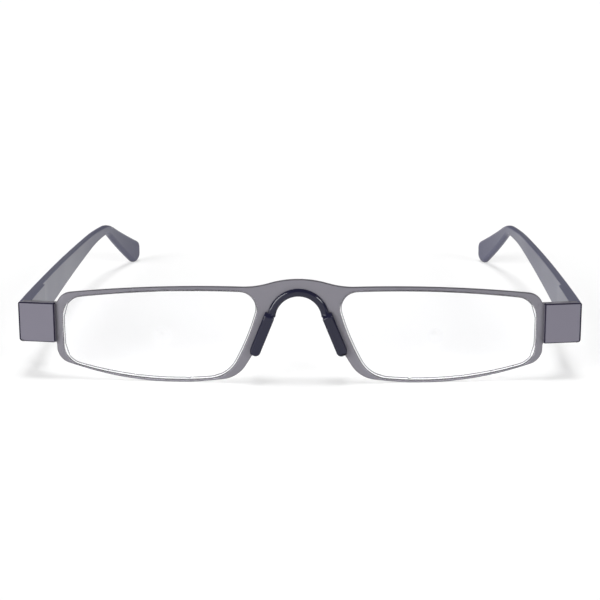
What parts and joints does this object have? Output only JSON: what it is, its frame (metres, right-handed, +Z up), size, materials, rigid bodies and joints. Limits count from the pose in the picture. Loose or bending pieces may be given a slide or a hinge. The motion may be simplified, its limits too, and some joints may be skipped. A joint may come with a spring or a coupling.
{
  "type": "reading glasses",
  "caption": "Half-eye reading glasses with a wrapped sheet-metal front, clear lenses, a dark moulded saddle bridge and hinged plastic temples that fold in behind the front.",
  "frame": {"origin": "on the ground, under the middle of the glasses' width and depth, with the temples open", "axes": "+X to the right as seen from the front, +Y from the front towards the temple tips, +Z up; left and right in the names are as seen from the front"},
  "size_m": [0.14, 0.143, 0.0264],
  "materials": {
    "sheet_metal": "satin grey coat",
    "saddle_plastic": "glossy dark blue-grey",
    "lens_plastic": "clear, polished",
    "temple_plastic": "satin blue-grey",
    "hinge_metal": "plain"
  },
  "bodies": {
    "front": {"front_frame": "sheet_metal", "lens_left": "lens_plastic", "lens_right": "lens_plastic", "nose_saddle": "saddle_plastic", "end_plate_left": "sheet_metal", "end_plate_right": "sheet_metal", "front_hinge_left": "hinge_metal", "front_hinge_right": "hinge_metal", "hinge_screw_left": "hinge_metal", "hinge_screw_right": "hinge_metal", "front_rivet_left_upper": "hinge_metal", "front_rivet_left_lower": "hinge_metal", "front_rivet_right_upper": "hinge_metal", "front_rivet_right_lower": "hinge_metal"},
    "temple_left_body": {"temple_hinge_left": "hinge_metal", "temple_left": "temple_plastic", "temple_rivet_left_front": "hinge_metal", "temple_rivet_left_rear": "hinge_metal"},
    "temple_right_body": {"temple_hinge_right": "hinge_metal", "temple_right": "temple_plastic", "temple_rivet_right_front": "hinge_metal", "temple_rivet_right_rear": "hinge_metal"}
  },
  "joints": [
    {"name": "hinge_left", "type": "hinge", "parent": "front", "child": "temple_left_body", "pos_m": [-0.0655, -0.061, 0.015], "axis": [0, 0, -1], "range_deg": [0, 88]},
    {"name": "hinge_right", "type": "hinge", "parent": "front", "child": "temple_right_body", "pos_m": [0.0655, -0.061, 0.015], "axis": [0, 0, 1], "range_deg": [0, 83]}
  ]
}
